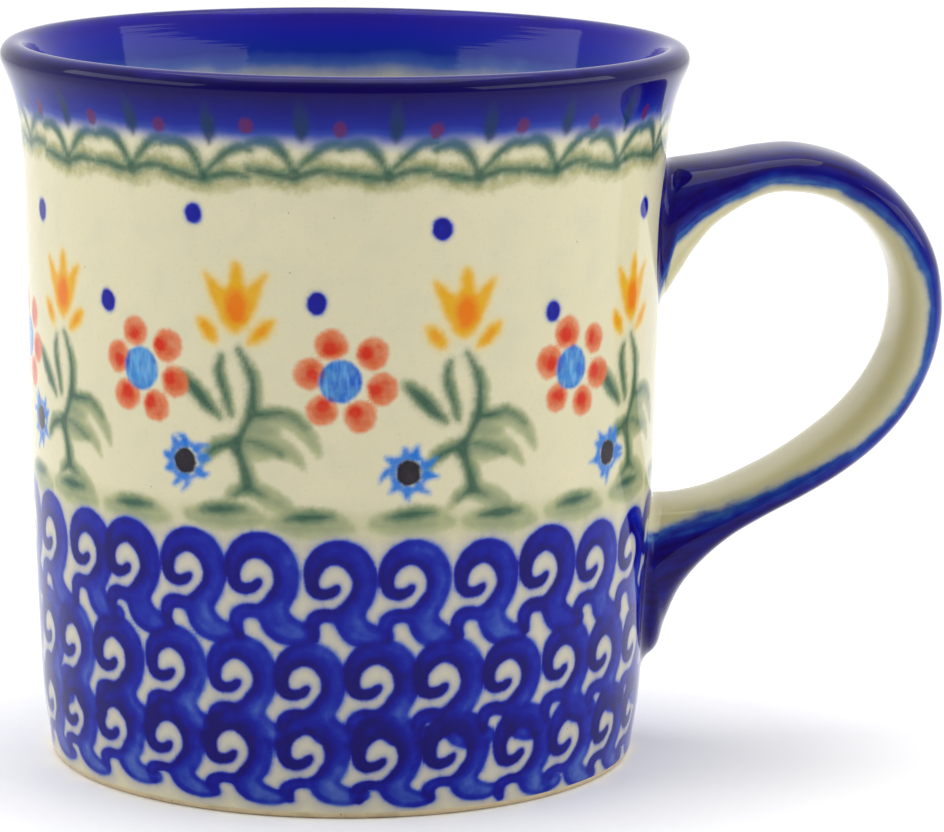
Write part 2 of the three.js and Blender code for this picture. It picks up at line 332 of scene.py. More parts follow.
def paint_scrolls(brush, rng):
    for count, at, height, squash, pale in SCROLL_ROWS:
        for i in range(count):
            dx, dz, lean, size, wet = rng.normal(0, 1, 5)
            angle = at + 360 * i / count + 0.5 * dx
            level = height - ROW_TILT * math.sin(math.radians(angle)) + 0.17 * dz
            grow = 1 + 0.02 * size
            brush.move(angle, level, 9.5, lean=2.5 * lean, size=grow)
            below = np.minimum(brush.y - SQUASH_BELOW, 0)
            shape, load = scroll_stamp(brush.x, brush.y + below * (1 / squash - 1), pale)
            added = np.clip(0.5 - shape / 0.8, 0, 1) * (load + 0.05 * wet)
            before = brush.field["load"][brush.near]
            both = np.maximum(before, added) + OVERLAP * np.minimum(before, added)
            brush.field["load"][brush.near] = both
            brush.mark("cobalt", shape * grow, 0.12)


def paint_dots(brush, rng):
    for angle, z in DOTS:
        wide, tall, lean = rng.normal(0, 1, 3)
        brush.move(angle, z, 4)
        radii = (DOT_RADII[0] + 0.05 * wide, DOT_RADII[1] + 0.06 * tall)
        shape = ellipse(brush.x, brush.y, (0, 0), radii, 12 * lean)
        brush.mark("cobalt", shape, 0.1)
        brush.field["load"][brush.near] += (0.48 + 0.2 * np.clip(-shape, 0, 1)) * (shape < 0.5)


def paint_plants(brush, rng):
    for angle, rise, _, _ in PLANTS:
        lean, size, wet = rng.normal(0, 1, 3)
        brush.move(angle, TULIP_BASE + rise * 0.7, 15, 20, 0.8 * lean, 1 + 0.012 * size, 1 - 0.02 * rise)
        brush.strokes("yellow", TULIP + BUDS, 0.6)
        brush.ellipse("orange", (0.05 * lean, TULIP_HEART), HEART_RADII, soft=0.3)
        for points in BUDS:
            middle = spline(points, 4)[4:8] * (1, 1, 0.4)
            brush.mark("orange", stroke(brush.x, brush.y, middle, 2) + 0.4)
        brush.strokes("green", STEMS, 0.4)
        brush.strokes("leaf", LEAVES, 0.5, 0.12 * wet)


def paint_flowers(brush, rng):
    for angle in FLOWERS:
        lean, rise = rng.normal(0, 1, 2)
        brush.move(angle, FLOWER_Z + 0.2 * rise, 9, lean=3 * lean)
        for x, y in PETALS:
            wide, tall, dx, dy = rng.normal(0, 1, 4)
            brush.ellipse("red", (x, y), (PETAL_RADIUS + 0.1 * wide, PETAL_RADIUS + 0.1 * tall), 30 * dx)
            middle = (x * 0.88 - 0.25 + 0.15 * dx, y * 0.92 + 0.15 * dy)
            brush.ellipse("touch", middle, (PETAL_TOUCH, PETAL_TOUCH + 0.12 * wide), 40 * dy)
        brush.ellipse("sky", (0, 0.1), (FLOWER_EYE, FLOWER_EYE + 0.1))


def paint_stars(brush, rng):
    inner, outer = STAR_RING
    for plant, _, before, z in PLANTS:
        spin, _, high = rng.normal(0, 1, 3)
        brush.move(plant + before, z, 6)
        x, y = brush.x, brush.y
        shape = np.maximum(np.hypot(x, y) - outer, inner - np.hypot(x - 0.2, y + 0.06))
        for k in range(STAR_POINTS):
            reach, bend, hook = rng.normal(0, 1, 3)
            at = 2 * math.pi * (k + 0.3 * spin) / STAR_POINTS + 0.12 * bend
            arm = [(r * math.cos(a), r * math.sin(a), half) for r, a, half in (
                (2.0, at, 0.6), (2.65, at, 0.4), (3.35 + 0.3 * reach, at + 0.1 * hook, 0.12))]
            shape = joined(shape, stroke(x, y, arm, 3), 0.3)
        brush.mark("star", shape, 0.05)
        brush.ellipse("black", (-0.05, 0.05 * high), STAR_EYE, 10 * spin)


def paint_garland(brush, rng):
    between_nodes = math.radians(180 / GARLAND_COUNT) * WIDEST
    for i in range(GARLAND_COUNT):
        dx, dz, lean = rng.normal(0, 1, 3)
        angle = GARLAND_AT + 360 * i / GARLAND_COUNT + 0.5 * dx
        brush.move(angle, GARLAND_Z + 0.3 * dz, 9, 11, 1.5 * lean)
        brush.strokes("green", GARLAND, 0.35)
        brush.strokes("shade", GARLAND_SHADE, 0.5)
        brush.strokes("teal", [SPINDLE], 0.2)
        brush.ellipse("rust", (0.2 - between_nodes, RUST_DOT_Z), RUST_RADII, soft=0.2)


def paint_ground(brush, rng):
    for i in range(GROUND_COUNT):
        dx, dz, lean = rng.normal(0, 1, 3)
        angle = GROUND_AT + 360 * i / GROUND_COUNT + 0.6 * dx
        brush.move(angle, GROUND_Z + 0.35 * dz, 10, 5, 1.5 * lean)
        brush.strokes("green", [GROUND], 0.3, -0.05)
        brush.strokes("leaf", GROUND_SHADE, 0.5)


SEED = 1835
PAINTERS = (paint_scrolls, paint_dots, paint_plants, paint_flowers, paint_stars, paint_garland,
            paint_ground)


def painted(angle, z):
    """Every field at points of the wall. Each ring has the same seed, so marks run on across the joints."""
    brush = Brush(angle, z)
    rng = np.random.default_rng(SEED)
    for painter in PAINTERS:
        painter(brush, rng)
    return brush.field


# ---- meshes


def mesh_object(name, points, corner_points, face_sizes, corner_uvs, materials, face_materials=None):
    """An object from arrays: points in mm, the corners of every face in order, and a UV for each corner."""
    mesh = bpy.data.meshes.new(name)
    starts = np.r_[0, np.cumsum(face_sizes)[:-1]]
    mesh.vertices.add(len(points))
    mesh.vertices.foreach_set("co", (np.asarray(points) * MM).ravel())
    mesh.loops.add(len(corner_points))
    mesh.loops.foreach_set("vertex_index", corner_points)
    mesh.polygons.add(len(face_sizes))
    mesh.polygons.foreach_set("loop_start", starts)
    mesh.update(calc_edges=True)
    mesh.validate()
    mesh.uv_layers.new(name="OFBake").data.foreach_set("uv", np.asarray(corner_uvs, np.float32).ravel())
    for material in materials:
        mesh.materials.append(material)
    if face_materials is not None:
        mesh.polygons.foreach_set("material_index", face_materials)
    mesh.polygons.foreach_set("use_smooth", np.ones(len(face_sizes), bool))
    mesh.set_sharp_from_angle(angle=SHARP)
    piece = bpy.data.objects.new(name, mesh)
    bpy.context.scene.collection.objects.link(piece)
    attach(piece, "root")
    return piece


def keep_vectors(piece, **columns):
    """Point attributes for the materials, three fields to each."""
    for name, fields in columns.items():
        values = np.stack(fields, 1).astype(np.float32)
        piece.data.attributes.new(name, "FLOAT_VECTOR", "POINT").data.foreach_set("vector", values.ravel())


FINE_COLUMNS = 660       # points round the wall where it is painted
COARSE_COLUMNS = 132     # and where it is plain
PAINT_STEP = 0.36 if FINE else 0.72


class Turned:
    """A closed solid turned about the body's axis, from rows that may differ in their number of points."""

    def __init__(self):
        self.rows = []       # (radius, height, columns)
        self.patches = []    # (first row, last row, strips, box in the atlas), strips 0 for a disc

    def add(self, outline, columns, strips, box):
        first = len(self.rows)
        if first and np.allclose(self.rows[-1][:2], outline[0], atol=1e-6):
            outline = outline[1:]
            first -= 1
        self.rows += [(r, z, 1 if r < 1e-6 else columns) for r, z in outline]
        self.patches.append((first, len(self.rows) - 1, strips, box))

    def build(self, name, materials, closed, bare=None):
        radii, heights, counts = (np.array(column) for column in zip(*self.rows))
        starts = np.r_[0, np.cumsum(counts)]
        angle = 2 * math.pi * np.concatenate([np.arange(n) / n for n in counts])
        radius, z = np.repeat(radii, counts), np.repeat(heights, counts)
        points = np.stack([AXIS_X + radius * np.cos(angle), radius * np.sin(angle), z], 1)
        corners, sizes, uvs, kinds = [], [], [], []
        last = len(self.rows) - 1
        for low, high in [(i, i + 1) for i in range(last)] + [(last, 0)] * closed:
            fewest, most = sorted((counts[low], counts[high]))
            faces = most if fewest == 1 else fewest
            first = np.arange(faces)[:, None]
            sides = []
            for row, step in ((low, 1), (high, -1)):
                n = counts[row]
                if n == 1:               # the middle of a disc
                    column, share = np.zeros_like(first), (first + 0.5) / faces
                else:
                    column = first * (n // faces) + np.arange(n // faces + 1)[::step]
                    share = column / n
                sides.append((starts[row] + column % n, share, np.full(share.shape, row)))
            index, share, row = (np.hstack(both) for both in zip(*sides))
            corners.append(index.ravel())
            sizes.append(np.full(faces, index.shape[1]))
            uvs.append(self.place(share, row, low, high).reshape(-1, 2))
            kinds.append(np.full(faces, 1 if bare and bare(self.rows[low], self.rows[high]) else 0))
        piece = mesh_object(name, points, np.concatenate(corners), np.concatenate(sizes), np.vstack(uvs),
                            materials, np.concatenate(kinds))
        return piece, np.degrees(angle), z, radius

    def place(self, share, row, low, high):
        """Where corners lie in the atlas: strips of the unrolled wall, or discs."""
        patch = next((p for p in self.patches if p[0] <= low and high <= p[1] and low < high), None)
        if patch is None:      # the hidden joint between two rings
            return np.full(share.shape + (2,), 0.999)
        first, end, strips, (u0, v0, u1, v1) = patch
        outline = np.array([r[:2] for r in self.rows[first:end + 1]])
        if strips == 0:
            reach = outline[:, 0] / outline[:, 0].max() * (u1 - u0) / 2
            a = share * 2 * math.pi
            r = reach[row - first]
            return np.stack([(u0 + u1) / 2 + r * np.cos(a), (v0 + v1) / 2 + r * np.sin(a)], 2)
        length = np.r_[0, np.cumsum(np.hypot(*np.diff(outline, axis=0).T))]
        tall = (v1 - v0) / strips
        strip = np.floor(share.mean(1, keepdims=True) * strips)
        up = 0.01 + 0.98 * length[row - first] / length[-1]
        return np.stack([u0 + (u1 - u0) * (share * strips - strip), v0 + tall * (strip + up)], 2)


# ---- materials


def colour(red, green, blue):
    """A screen colour (0-255) as the linear light that the shaders mix in."""
    c = np.array([red, green, blue]) / 255
    return (*np.where(c <= 0.04045, c / 12.92, ((c + 0.055) / 1.055) ** 2.4), 1.0)


class Nodes:
    """Short ways to add nodes to the tree of a material or the world."""

    def __init__(self, owner):
        owner.use_nodes = True
        self.tree = owner.node_tree

    def put(self, socket, value):
        if isinstance(value, bpy.types.NodeSocket):
            self.tree.links.new(value, socket)
        else:
            socket.default_value = value

    def node(self, kind, *values, **settings):
        """A node with these settings, and these values or sockets in its first inputs."""
        node = self.tree.nodes.new(kind)
        for key, setting in settings.items():
            setattr(node, key, setting)
        for socket, value in zip(node.inputs, values):
            self.put(socket, value)
        return node

    def math(self, operation, a, b, clamp=False):
        return self.node("ShaderNodeMath", a, b, operation=operation, use_clamp=clamp).outputs[0]

    def times(self, a, b):
        return self.math("MULTIPLY", a, b)

    def plus(self, total, *more):
        for value in more:
            total = self.math("ADD", total, value)
        return total

    def vector(self, *values):
        return self.node("ShaderNodeCombineXYZ", *values).outputs[0]

    def parts(self, vector):
        return self.node("ShaderNodeSeparateXYZ", vector).outputs

    def fade(self, value, start, end, low=0.0, high=1.0, curve="SMOOTHSTEP"):
        """low where value is start, high where it is end, eased between and held outside."""
        return self.node("ShaderNodeMapRange", value, start, end, low, high,
                         interpolation_type=curve, clamp=True).outputs[0]

    def noise_at(self, place, detail, swing=1.0):
        """Noise from -swing to swing, roughly, in blobs one unit of the given place across."""
        node = self.node("ShaderNodeTexNoise", place, noise_dimensions="3D")
        self.put(node.inputs["Scale"], 1.0)
        self.put(node.inputs["Detail"], detail)
        return self.fade(node.outputs[0], 0.25, 0.75, -swing, swing, "LINEAR")

    def mix(self, amount, a, b):
        """Colour a turning into b. Each is a socket or a screen colour."""
        node = self.node("ShaderNodeMix", data_type="RGBA", clamp_factor=True)
        self.put(node.inputs["Factor"], amount)
        for socket, shade in ((node.inputs[6], a), (node.inputs[7], b)):
            self.put(socket, colour(*shade) if isinstance(shade, tuple) else shade)
        return node.outputs[2]

    def ramp(self, value, stops):
        """Screen colours along a value, as (value, colour) stops."""
        node = self.node("ShaderNodeValToRGB", value)
        band = node.color_ramp.elements
        while len(band) < len(stops):
            band.new(1.0)
        for element, (at, shade) in zip(band, stops):
            element.position = at
            element.color = colour(*shade)
        return node.outputs[0]

    def fields(self, name):
        """The three fields kept on the mesh under one name."""
        node = self.node("ShaderNodeAttribute", attribute_type="GEOMETRY", attribute_name=name)
        return self.parts(node.outputs["Vector"])


class Surface(Nodes):
    """A new material and its nodes. Lengths are mm."""

    def __init__(self, name):
        self.material = bpy.data.materials.new(name)
        super().__init__(self.material)
        self.shader = self.tree.nodes["Principled BSDF"]
        place = self.node("ShaderNodeTexCoord").outputs["Object"]
        self.place = self.node("ShaderNodeVectorMath", place, (1 / MM,) * 3, operation="MULTIPLY").outputs[0]

    def finish(self, base, roughness):
        """The material, with this colour and roughness."""
        self.put(self.shader.inputs["Base Color"], base)
        self.put(self.shader.inputs["Roughness"], roughness)
        return self.material

    def shifted(self, size, seed):
        """The place in cells of this size, moved so that each seed has a pattern of its own."""
        return self.node("ShaderNodeVectorMath", self.place, (1 / size,) * 3,
                         (13.7 * seed, 5.3 * seed, -7.9 * seed), operation="MULTIPLY_ADD").outputs[0]

    def noise(self, size, detail, seed, swing=1.0):
        """Noise in blobs of this size."""
        return self.noise_at(self.shifted(size, seed), detail, swing)

    def specks(self, cell, radius, share, seed, strength):
        """Round specks up to this strong, one in some of the cells of this size."""
        place = self.shifted(cell, seed)
        node = self.node("ShaderNodeTexVoronoi", place, voronoi_dimensions="3D", feature="F1")
        self.put(node.inputs["Scale"], 1.0)
        random = self.node("ShaderNodeSeparateColor", node.outputs["Color"]).outputs
        near = self.fade(node.outputs["Distance"], radius / cell, 0.4 * radius / cell)
        chosen = self.math("LESS_THAN", random[0], share)
        deep = self.fade(random[1], 0, 1, 0.35 * strength, strength, "LINEAR")
        return self.times(self.times(near, chosen), deep)

    def bump(self, heights):
        """Relief of the given heights in mm."""
        node = self.node("ShaderNodeBump")
        self.put(node.inputs["Strength"], 1.0)
        self.put(node.inputs["Distance"], MM)
        self.put(node.inputs["Height"], heights)
        self.put(self.shader.inputs["Normal"], node.outputs[0])


GLAZE_ROUGHNESS, GLAZE_SPECULAR, GLAZE_IOR = 0.055, 0.14, 1.5


def glaze(nodes, base, relief=0.0):
    """A clear, glossy glaze over the given colours: slight waves, a few pits, small changes in gloss."""
    waves = nodes.noise(9.0, 2.0, 3.1, 0.01)
    peel = nodes.noise(1.7, 2.0, 7.7, 0.001)
    pits = nodes.specks(5.5, 0.16, 0.25, 4.0, -0.03)
    nodes.bump(nodes.plus(waves, peel, pits, relief))
    gloss = nodes.plus(nodes.noise(14.0, 3.0, 11.0, 0.015), nodes.specks(2.3, 0.2, 0.3, 9.0, 0.2))
    nodes.put(nodes.shader.inputs["IOR"], GLAZE_IOR)
    nodes.put(nodes.shader.inputs["Specular IOR Level"], GLAZE_SPECULAR)
    return nodes.finish(base, nodes.math("ADD", gloss, GLAZE_ROUGHNESS, clamp=True))


CREAM, CREAM_WARM, CREAM_COOL = (209, 203, 171), (214, 206, 174), (200, 197, 168)


def cream_body(nodes):
    """The clay under clear glaze: warm and cool clouds, with fine iron specks."""
    base = nodes.mix(nodes.noise(11.0, 3.0, 1.0), CREAM, CREAM_WARM)
    base = nodes.mix(nodes.noise(4.0, 3.0, 2.0, 0.6), base, CREAM_COOL)
    fine = nodes.noise(0.45, 2.0, 5.0)
    base = nodes.mix(nodes.fade(fine, 0.2, 1.0, 0, 0.3), base, (196, 188, 150))
    base = nodes.mix(nodes.specks(2.6, 0.17, 0.35, 1.0, 0.7), base, (150, 132, 96))
    return nodes.mix(nodes.specks(6.0, 0.24, 0.3, 2.0, 0.8), base, (128, 104, 66))


COBALT_STOPS = [
    (0.0, (84, 108, 176)),
    (0.25, (48, 72, 164)),
    (0.45, (20, 37, 154)),
    (0.62, (12, 18, 143)),
    (0.8, (13, 6, 122)),
    (1.0, (15, 3, 98)),
]
SCROLL_BAND = 36.0       # top of the band of scrolls, which bleed a little

# The cobalt dip at the rim: where it fades out, outside and inside, where it covers the clay, the heights
# between which its colour deepens, and its colours between those. Outside, the darkest stop near the top is
# thick glaze darkened further as painted shade under the lip's crest, and the lighter last stop of both
# ramps is a painted highlight along the crest.
DIP_FOOTS = (78.9, 76.8)
DIP_WHOLE = 81.5
DIP_THIN, DIP_THICK = 79.2, 88.0
DIP_OUTSIDE = [
    (0.0, (122, 140, 186)), (0.17, (54, 78, 164)), (0.33, (20, 34, 136)), (0.52, (14, 14, 114)),
    (0.74, (14, 4, 82)), (0.9, (12, 2, 70)), (1.0, (32, 22, 112)),
]
DIP_INSIDE = [
    (0.0, (140, 152, 174)), (0.2, (58, 90, 170)), (0.4, (14, 40, 154)), (0.65, (20, 28, 160)),
    (0.9, (38, 26, 148)), (1.0, (32, 22, 112)),
]


class PaintedWall(Surface):
    """Nodes that turn the fields kept on the wall into layers of colour."""

    def __init__(self, name):
        super().__init__(name)
        self.marks = {}
        for group, names in FIELD_GROUPS.items():
            self.marks.update(zip(names, self.fields(group)))
        self.z = self.parts(self.place)[2]
        self.ragged = self.plus(self.noise(1.1, 3.0, 21.0, 0.16), self.noise(0.4, 2.0, 22.0, 0.06))
        self.cloud = self.noise(1.6, 3.0, 23.0)
        self.broad = self.noise(5.0, 2.0, 24.0)

    def cover(self, mark, soft, wobble=1.0, grow=0.0):
        """How far a mark covers the wall, with a soft edge that wobbles and is moved out by grow."""
        edge = self.plus(self.marks[mark], self.times(self.ragged, wobble))
        return self.fade(edge, grow + soft / 2, grow - soft / 2)

    def layers(self, base, *layers):
        """Marks over the base, each as mark, softness, shade, opacity, cloudiness, wobble and growth."""
        for mark, soft, shade, opacity, change, wobble, grow in layers:
            strength = self.plus(opacity, self.times(self.cloud, change))
            base = self.mix(self.times(self.cover(mark, soft, wobble, grow), strength), base, shade)
        return base


def lay_greens(wall, base):
    """The pale wash, the olive shadow of the garland, then the drawn strokes."""
    thick = wall.plus(wall.marks["leaf"], wall.times(wall.cloud, 0.5))
    wash = wall.mix(wall.fade(thick, 0.2, -1.4), (164, 168, 126), (130, 142, 108))
    mist = wall.times(wall.cover("leaf", 3.0, 1.5, 1.3), wall.fade(wall.z, 38.5, 36.5, 0, 0.5))
    base = wall.mix(mist, base, (170, 170, 128))
    thick = wall.plus(wall.marks["green"], wall.times(wall.cloud, 0.25))
    drawn = wall.mix(wall.fade(thick, 0.0, -0.6), (90, 116, 90), (42, 80, 66))
    return wall.layers(base,
                       ("leaf", 0.9, wash, 0.92, 0.1, 1.0, 0.15),
                       ("shade", 1.3, (150, 148, 88), 0.62, 0.25, 1.8, 0.0),
                       ("green", 1.5, (104, 124, 94), 0.66, 0.2, 1.1, 0.35),
                       ("green", 0.9, drawn, 0.88, 0.15, 0.9, 0.0))


def lay_flowers(wall, base):
    """Yellow tulips with orange hearts, red petals with a thicker touch in each, blue eyes and stars."""
    x, y, z = wall.parts(wall.place)
    over = wall.mix(wall.cover("red", 0.8), (38, 122, 190), (72, 58, 132))
    blue = wall.mix(wall.fade(wall.plus(wall.cloud, wall.broad), -0.5, 1.0), over, (16, 84, 186))
    upright = wall.vector(wall.times(x, 1.3), wall.times(y, 1.3), wall.times(z, 0.4))
    streak = wall.fade(wall.noise_at(upright, 1.0), -0.3, 1.0, 0, 0.7)
    blue = wall.mix(streak, blue, (96, 164, 214))
    return wall.layers(base,
                       ("yellow", 1.4, (218, 186, 96), 0.7, 0.1, 1.2, 0.3),
                       ("yellow", 1.0, (214, 158, 12), 0.94, 0.06, 0.8, -0.1),
                       ("orange", 1.4, (218, 110, 0), 0.95, 0.05, 1.2, 0.1),
                       ("red", 0.7, (206, 106, 56), 0.86, 0.14, 0.8, 0.05),
                       ("red", 0.9, (192, 68, 28), 0.6, 0.3, 1.4, -0.6),
                       ("touch", 0.8, (196, 34, 6), 0.9, 0.1, 1.2, 0.1),
                       ("sky", 0.6, blue, 0.95, 0.05, 0.7, 0.0),
                       ("star", 0.7, (60, 136, 206), 0.6, 0.2, 0.6, 0.15),
                       ("star", 0.5, (14, 106, 196), 0.85, 0.15, 0.6, -0.1),
                       ("black", 0.5, (20, 12, 32), 0.98, 0.02, 0.8, 0.0))


def lay_cobalt(wall, base):
    """Stamps and dots, deeper with the load of pigment and inside the edge, where it pools."""
    cobalt = wall.marks["cobalt"]
    bleed = wall.fade(wall.z, SCROLL_BAND, SCROLL_BAND - 3, 0, 0.7)
    base = wall.mix(wall.times(wall.cover("cobalt", 2.6, 1.0, 1.0), bleed), base, (160, 158, 164))
    base = wall.layers(base, ("cobalt", 1.0, (92, 108, 172), 0.5, 0.1, 0.6, 0.15))
    depth = wall.plus(wall.marks["load"], wall.times(wall.cloud, 0.12), wall.times(wall.broad, 0.12),
                      wall.fade(cobalt, 0.1, -0.4, -0.3, 0.11), wall.fade(cobalt, -0.5, -1.4, 0.0, -0.24))
    return wall.mix(wall.cover("cobalt", 0.5, 0.6), base, wall.ramp(depth, COBALT_STOPS))


def lay_dip(wall, base):
    """The cobalt dip at the rim, thin at its lower edge. The garland's marks show through it."""
    inside, ragged = wall.marks["inside"], wall.times(wall.ragged, 0.4)
    level = wall.plus(wall.z, wall.noise(7.0, 2.0, 31.0, 0.4), ragged, wall.times(wall.broad, 0.2))
    share = wall.fade(level, DIP_THIN, DIP_THICK, 0, 1, "LINEAR")
    # both ramps end in a painted highlight along the lip's crest, the outside one after a band of painted
    # shade
    cobalt = wall.mix(inside, wall.ramp(share, DIP_OUTSIDE), wall.ramp(share, DIP_INSIDE))
    foot = wall.fade(inside, 0, 1, *DIP_FOOTS, "LINEAR")
    base = wall.mix(wall.fade(level, foot, DIP_WHOLE), base, cobalt)
    arches = wall.times(wall.cover("green", 1.0), wall.fade(wall.z, 78.0, 80.5, 0, 0.55))
    base = wall.mix(arches, base, (44, 84, 92))
    spindles = wall.times(wall.cover("teal", 1.0), wall.fade(level, 85.2, 82.0, 0.4, 0.85))
    base = wall.mix(spindles, base, (18, 46, 78))
    return wall.mix(wall.times(wall.cover("rust", 0.6), 0.78), base, (92, 30, 74))


def wall_glaze():
    """Everything painted on the body, under a clear glaze with faint throwing rings, stronger inside."""
    wall = PaintedWall("painted_glaze")
    base = cream_body(wall)
    for lay in (lay_greens, lay_flowers, lay_cobalt, lay_dip):
        base = lay(wall, base)
    rings = wall.noise_at(wall.vector(0.0, 0.0, wall.times(wall.z, 1.3)), 2.0)
    return glaze(wall, base, wall.times(rings, wall.fade(wall.marks["inside"], 0, 1, 0.0012, 0.008)))


def bare_clay():
    """The unglazed ring the mug stands on."""
    nodes = Surface("bare_stoneware")
    base = nodes.mix(nodes.noise(3.0, 4.0, 1.0), (206, 188, 152), (184, 164, 128))
    base = nodes.mix(nodes.specks(1.3, 0.16, 0.5, 2.0, 0.8), base, (112, 90, 64))
    nodes.bump(nodes.plus(nodes.noise(0.35, 4.0, 4.0, 0.02), nodes.noise(1.8, 2.0, 5.0, 0.03)))
    return nodes.finish(base, nodes.fade(nodes.noise(0.8, 3.0, 3.0), -1, 1, 0.7, 0.95))


HANDLE_STOPS = [
    (0.0, (96, 128, 170)),
    (0.25, (42, 84, 152)),
    (0.45, (24, 50, 142)),
    (0.65, (18, 20, 120)),
    (0.85, (22, 8, 98)),
    (1.0, (20, 2, 74)),
]


def handle_glaze():
    """Cobalt brushed along the strap over cream tinted olive as painted shade, thin at its edge, with a
    darker finger-side band of pooled glaze and painted shade.
    """
    nodes = Surface("handle_glaze")
    brushed, along, pool_and_shade = nodes.fields("brush")
    across = nodes.parts(nodes.place)[1]
    # the strap's cream is the body's cream tinted olive: painted shade of the strap's shaded faces
    base = nodes.mix(0.18, cream_body(nodes), (186, 180, 132))
    # a band along the finger side darkened olive: partly pooled glaze, partly painted shade of the strap's
    # inner face
    base = nodes.mix(nodes.times(pool_and_shade, 0.5), base, (176, 168, 102))
    edge = nodes.plus(brushed, nodes.noise(4.0, 2.0, 41.0, 0.3), nodes.noise(0.8, 2.0, 42.0, 0.07))
    pull = nodes.vector(nodes.times(along, 0.45), nodes.times(brushed, 1.1), across)
    depth = nodes.plus(nodes.fade(edge, 0.1, -2.6, 0.24, 0.86), nodes.noise(2.2, 3.0, 43.0, 0.1),
                       nodes.noise_at(pull, 3.0, 0.2))
    base = nodes.mix(nodes.fade(edge, 0.9, 0.1, 0, 0.35), base, (110, 136, 172))
    base = nodes.mix(nodes.fade(edge, 0.4, -0.3), base, nodes.ramp(depth, HANDLE_STOPS))
    return glaze(nodes, base)


wall_material = wall_glaze()
clay_material = bare_clay()
handle_material = handle_glaze()

# ---- the body, in three rings

PAINTED_DEPTH = 0.6                      # marks lie only this near to the outside of the wall
INSIDE_FROM, INSIDE_SPAN = 0.4, 1.6      # depth from which the wall counts as inside, eased over the span


def wall_ring(name, shape, materials, closed, bare=None):
    """One ring of the wall in the CAD body's place, with every mark kept at its points."""
    piece, angle, z, radius = shape.build(name, materials, closed, bare)
    depth = wall_radius(np.minimum(z, LIP[0][1])) - radius
    field = painted(angle, z)
    outside = (depth < PAINTED_DEPTH) & (z > 0)
    for mark in field:
        field[mark] = np.where(outside, field[mark], FAR)
    field["inside"] = eased((depth - INSIDE_FROM) / INSIDE_SPAN)
    keep_vectors(piece, **{group: [field[mark] for mark in marks] for group, marks in FIELD_GROUPS.items()})
    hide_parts("mug_body")


BARE_BELOW = 0.9         # the foot ring is wiped clean of glaze up to here


def lower_wall():
    """The recess under the floor, the foot, the band of scrolls, and the floor inside."""
    high = BAND_JOINTS[0]
    shape = Turned()
    recess = arc((RECESS_RADIUS, 0.0), (FOOT_INNER - RECESS_RADIUS, RECESS_DEPTH), 90, 0, 4)
    ceiling = np.vstack([[0, RECESS_DEPTH], [RECESS_RADIUS * 0.5, RECESS_DEPTH], recess[:1]])
    shape.add(ceiling, COARSE_COLUMNS, 0, (0.66, 0.62, 0.84, 0.80))
    shape.add(recess, COARSE_COLUMNS, 1, (0.66, 0.60, 0.99, 0.615))
    wall = np.vstack([FOOT_EDGE, respaced(between(WALL, FOOT_EDGE_HEIGHT, high), PAINT_STEP)[1:]])
    shape.add(np.vstack([recess[-1:], FOOT_EDGE[:1]]), FINE_COLUMNS, 1, (0.66, 0.585, 0.99, 0.598))
    shape.add(wall, FINE_COLUMNS, 2, (0.0, 0.0, 0.99, 0.58))
    inside = respaced(between(CAVITY, FLOOR_Z + FLOOR_FILLET, high), HIDDEN_STEP)
    inside = np.vstack([inside, FLOOR_CORNER[1:]])
    shape.add(inside, COARSE_COLUMNS, 2, (0.0, 0.60, 0.64, 0.99))
    bottom = np.array([inside[-1], [inside[-1][0] / 2, FLOOR_Z], [0, FLOOR_Z]])
    shape.add(bottom, COARSE_COLUMNS, 0, (0.66, 0.81, 0.84, 0.99))
    wall_ring("lower_wall", shape, [wall_material, clay_material], False,
              bare=lambda a, b: max(a[1], b[1]) < BARE_BELOW)


def middle_wall():
    """The wall with the flowers."""
    low, high = BAND_JOINTS
    shape = Turned()
    shape.add(respaced(between(WALL, low, high), PAINT_STEP), FINE_COLUMNS, 2, (0.0, 0.0, 0.99, 0.60))
    shape.add(respaced(between(CAVITY, low, high), HIDDEN_STEP), COARSE_COLUMNS, 2, (0.0, 0.62, 0.99, 0.99))
    wall_ring("middle_wall", shape, [wall_material], True)


def rim():
    """The garland and the dip, over the lip and down inside."""
    low = BAND_JOINTS[1]
    outline = np.vstack([between(WALL, low, LIP[0][1]), LIP[1:], between(CAVITY, low, LIP[-1][1])[1:]])
    shape = Turned()
    shape.add(respaced(outline, PAINT_STEP), FINE_COLUMNS, 3, (0.0, 0.0, 0.99, 0.99))
    wall_ring("rim", shape, [wall_material], True)


lower_wall()
middle_wall()
rim()

# ---- the handle
# Pairs of points across the strap, outer then inner, as (distance from the body's axis, height).
STRAP = [
    ((34.0, 72.2), (34.0, 54.6)), ((38.6, 72.9), (38.6, 56.1)), ((41.2, 73.4), (40.9, 59.2)),
    ((43.6, 73.7), (42.8, 62.5)), ((46.6, 74.1), (45.6, 65.9)), ((51.4, 74.9), (50.9, 69.1)),
    ((56.4, 75.1), (55.6, 69.5)), ((62.2, 73.6), (59.9, 68.5)), ((66.9, 70.6), (63.4, 66.3)),
    ((70.6, 66.4), (66.2, 63.1)), ((73.0, 61.6), (67.8, 59.7)), ((73.9, 56.0), (68.3, 56.0)),
    ((73.5, 51.2), (68.0, 52.4)), ((72.1, 46.7), (67.1, 49.0)), ((69.6, 42.1), (65.1, 45.2)),
    ((66.0, 38.0), (62.2, 41.7)), ((61.6, 34.5), (58.8, 38.8)), ((56.9, 31.7), (54.8, 36.0)),
    ((52.0, 29.1), (50.3, 33.6)), ((47.8, 26.5), (46.6, 32.1)), ((44.2, 23.2), (43.6, 31.4)),
    ((41.7, 19.8), (41.3, 31.1)), ((40.1, 15.8), (39.6, 31.1)), ((38.7, 11.9), (38.2, 31.1)),
    ((34.0, 9.4), (34.0, 31.1)),
]
STRAP_WIDTH = 17.0
ROOT_WIDTH = 21.0
ROOT_REACH = 5.0            # pairs over which the root narrows to the strap
